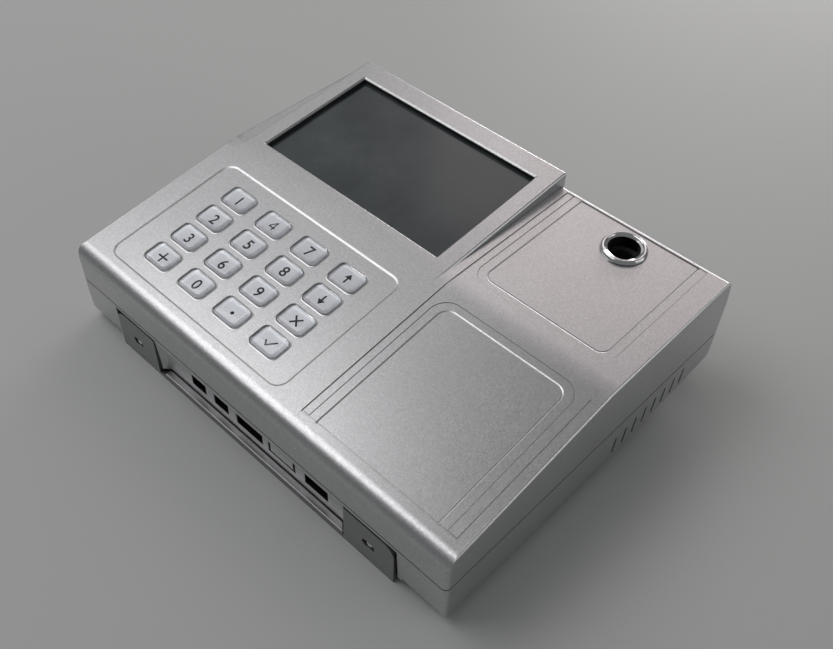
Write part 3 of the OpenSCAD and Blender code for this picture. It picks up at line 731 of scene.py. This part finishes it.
def make_key_rims():
    """Soft raised lip round each key, moulded with the cover."""
    gap = 0.3 * MM
    floor_drop = 1.8 * MM
    lip = [(-0.24, -0.4), (-0.23, 0.02), (-0.16, 0.1), (0.02, 0.14), (0.2, 0.12), (0.42, 0.04),
           (0.6, -0.02), (0.6, -0.4)]
    bm = bmesh.new()
    for node in LEGENDS:
        centre, width, depth, radius, _, high = key_frame(node)
        floor = high.z - floor_drop
        profile = [(-(gap + out * MM), floor + up * MM) for out, up in lip]
        rings = plate_rings(slope, centre, width, depth, radius, profile, 10)
        loft(bm, rings, cyclic=True)
    piece = link("key_rims", finish_mesh(bm, "key_rims", 60.0), "housing_silver")
    paint(piece, key_lip)


# ---------------------------------------------------------------- screws and sockets


def screw_head(bm, centre, axis, radius, height, recess):
    """Pan head with a cross recess; axis points out of the head."""
    side = axis.orthogonal().normalized()
    other = axis.cross(side)

    def at(x, y, z):
        return centre + side * x + other * y + axis * z

    steps = 48
    round_top = [(1.0, 0.0), (1.0, 0.35), (0.96, 0.6), (0.86, 0.8), (0.7, 0.93), (0.5, 1.0)]
    circle = circle_outline(1.0, steps)
    rings = []
    for r, h in round_top:
        rings.append([at(radius * r * x, radius * r * y, height * h) for x, y in circle])

    def cross_radius(angle, arm, web):
        c, s = abs(math.cos(angle)), abs(math.sin(angle))
        long_side, short_side = max(c, s), min(c, s)
        reach = arm / long_side
        if short_side * reach > web:
            reach = web / short_side
        return reach

    levels = ((0.46, 0.13, 1.0), (0.4, 0.09, 1.0 - recess * 0.7), (0.2, 0.05, 1.0 - recess))
    for arm, web, h in levels:
        ring = []
        for i in range(steps):
            angle = 2 * math.pi * i / steps
            reach = radius * cross_radius(angle, arm, web)
            ring.append(at(reach * math.cos(angle), reach * math.sin(angle), height * h))
        rings.append(ring)
    loft(bm, rings)


def make_screws():
    """Cross-recess heads for the screws that show: two on the bracket, four under the housing."""
    jobs = (
        ("bracket_screws", "screw_bright", (0, -1, 0), 1.55 * MM, 0.8 * MM, 6.3 * MM, 1.15 * MM),
        ("case_screws", "screw_steel", (0, 0, -1), 3.0 * MM, 2.2 * MM, 17.2 * MM, 1.45 * MM),
    )
    for node, slot, way, radius, head, length, shank in jobs:
        axis = Vector(way)
        low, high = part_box(node)
        xs = (low.x + radius, high.x - radius)
        ys = (low.y + radius, high.y - radius)
        if axis.y:
            spots = [Vector((x, low.y + head, (low.z + high.z) / 2)) for x in xs]
        else:
            spots = [Vector((x, y, low.z + head)) for x in xs for y in ys]
        bm = bmesh.new()
        for spot in spots:
            screw_head(bm, spot, axis, radius, head, 0.75)
            side = axis.orthogonal().normalized()
            other = axis.cross(side)
            end = length - head
            rings = []
            for r, depth in ((shank, 0.0), (shank, end - 0.6 * MM), (shank * 0.5, end)):
                foot = spot - axis * depth
                rings.append([foot + side * x + other * y for x, y in circle_outline(r, 24)])
            loft(bm, rings)
        piece = link(node + "_detail", finish_mesh(bm, node + "_detail", 40.0), slot, "case", node)
        paint(piece, MATERIALS[slot])


def make_port_liners():
    """Black noses of the four jacks, which line the openings in the port panel."""
    reach = 2.45 * MM
    edge = reach - 0.15 * MM
    bm = bmesh.new()
    for node in ("power_jack", "signal_jack", "network_jack", "usb_socket"):
        low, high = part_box(node)
        middle = Vector(((low.x + high.x) / 2, low.y, (low.z + high.z) / 2))
        width = high.x - low.x
        height = high.z - low.z
        rings = []
        for grow, forward in ((0.27, 0.0), (0.27, edge), (0.12, reach), (-0.2, reach),
                              (-0.35, edge), (-0.35, 0.0)):
            outline = rounded_outline(width + 2 * grow * MM, height + 2 * grow * MM, 0.5 * MM, 4)
            rings.append([middle + Vector((x, -forward, z)) for x, z in outline])
        loft(bm, rings, cyclic=True)
    piece = link("port_liners", finish_mesh(bm, "port_liners"), "jack_black")
    paint(piece, MATERIALS["jack_black"])


# ---------------------------------------------------------------- stage, lights, camera


def make_floor():
    """Plain pale floor that the clock stands on."""
    half_size = 8.0
    bm = bmesh.new()
    bmesh.ops.create_grid(bm, x_segments=1, y_segments=1, size=half_size)
    mesh = bpy.data.meshes.new("floor")
    bm.to_mesh(mesh)
    bm.free()
    floor = bpy.data.objects.new("floor", mesh)
    scene.collection.objects.link(floor)
    mat, tree, shader, coords = new_material("floor_pale", (0.53, 0.54, 0.53), 0.0, 0.55)
    stops = [(0.3, (0.52, 0.53, 0.52)), (0.7, (0.54, 0.55, 0.54))]
    tone = ramp(tree, noise(tree, coords, 3.0, 4.0), stops)
    tree.links.new(tone, shader.inputs["Base Color"])
    paint(floor, mat)


def add_light(name, direction, distance, size, radiance, colour):
    """A softbox that faces the object, as bright as its radiance seen from anywhere in front."""
    aim = Vector((0.0, 0.0, 0.03))
    data = bpy.data.lights.new(name, "AREA")
    data.shape = "RECTANGLE"
    data.size, data.size_y = size
    data.energy = radiance * math.pi * size[0] * size[1]
    data.color = colour
    lamp = bpy.data.objects.new(name, data)
    place = Vector(direction).normalized() * distance
    lamp.location = aim + place
    lamp.rotation_euler = (-place).to_track_quat("-Z", "Y").to_euler()
    scene.collection.objects.link(lamp)


def make_lights():
    """Softboxes: the main one at the left, weak fills round it, and one low behind the rear edge."""
    add_light("window_light", (-0.51, -0.28, 0.81), 1.3, (1.0, 0.8), 2.1, (1.0, 1.0, 1.0))
    add_light("ceiling_light", (-0.62, 0.34, 0.71), 1.4, (1.0, 0.8), 0.38, (1.0, 1.0, 1.0))
    add_light("fill_light", (0.85, 0.42, 0.30), 1.5, (1.0, 0.8), 1.1, (1.0, 1.0, 1.0))
    add_light("rear_light", (-0.33, 0.70, 0.64), 1.4, (0.8, 0.6), 0.85, (1.0, 0.86, 0.85))
    add_light("edge_light", (-0.26, 0.93, 0.20), 1.4, (0.9, 0.22), 9.0, (1.0, 0.97, 0.97))
    world = bpy.data.worlds.new("studio")
    world.use_nodes = True
    world.node_tree.nodes["Background"].inputs["Color"].default_value = (0.16, 0.163, 0.165, 1.0)
    world.node_tree.nodes["Background"].inputs["Strength"].default_value = 1.0
    scene.world = world
    scene.view_settings.view_transform = "Standard"


def make_camera():
    """Camera above the card side's front corner, looking down over the keypad."""
    place = Vector((0.2054, -0.21545, 0.3275))
    aim = Vector((0.0188, -0.00735, 0.03))
    roll = math.radians(2.465)
    data = bpy.data.cameras.new("camera")
    data.sensor_width = 36.0
    data.lens = 42.43
    camera = bpy.data.objects.new("camera", data)
    look = (aim - place).to_track_quat("-Z", "Y").to_matrix()
    turn = look @ Matrix.Rotation(roll, 3, "Z")
    camera.matrix_world = Matrix.Translation(place) @ turn.to_4x4()
    scene.collection.objects.link(camera)
    scene.camera = camera


make_camera()
make_lights()
make_floor()
paint_frame()
make_housing()
for key_node, key_kind in LEGENDS.items():
    make_key(key_node, key_kind)
make_key_rims()
make_face_lines()
make_window_rim()
make_screws()
make_port_liners()
